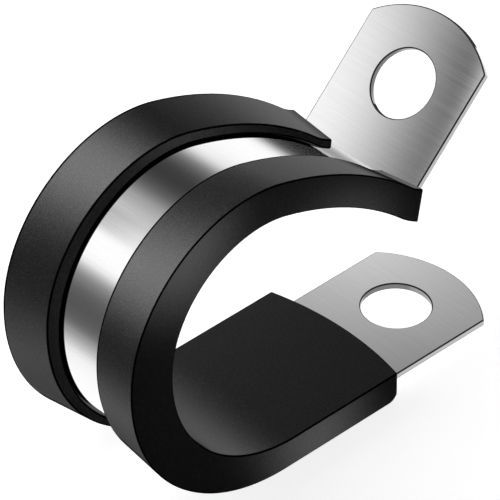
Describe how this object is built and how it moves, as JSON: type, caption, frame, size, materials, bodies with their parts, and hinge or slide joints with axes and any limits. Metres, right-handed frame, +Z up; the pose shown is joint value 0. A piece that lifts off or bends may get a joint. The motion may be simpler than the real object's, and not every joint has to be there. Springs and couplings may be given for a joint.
{
  "type": "p clip",
  "caption": "Rubber-lined P clip, open: a teardrop ring of sheet steel in a black rubber channel, with a flat lower tab and a raised upper tab, each with a screw hole.",
  "frame": {"origin": "centre of the bore's round back, at mid-width", "axes": "+Y along the bore, +X from the back of the ring towards the flat lower tab, +Z up towards the upper tab; the clip stands on the flat of its lips"},
  "size_m": [0.0502, 0.0176, 0.0347],
  "materials": {
    "steel": "fine brushed stainless sheet, satin",
    "rubber": "matte black extruded rubber"
  },
  "bodies": {
    "root": {"strap": "steel", "liner": "rubber"}
  },
  "joints": []
}
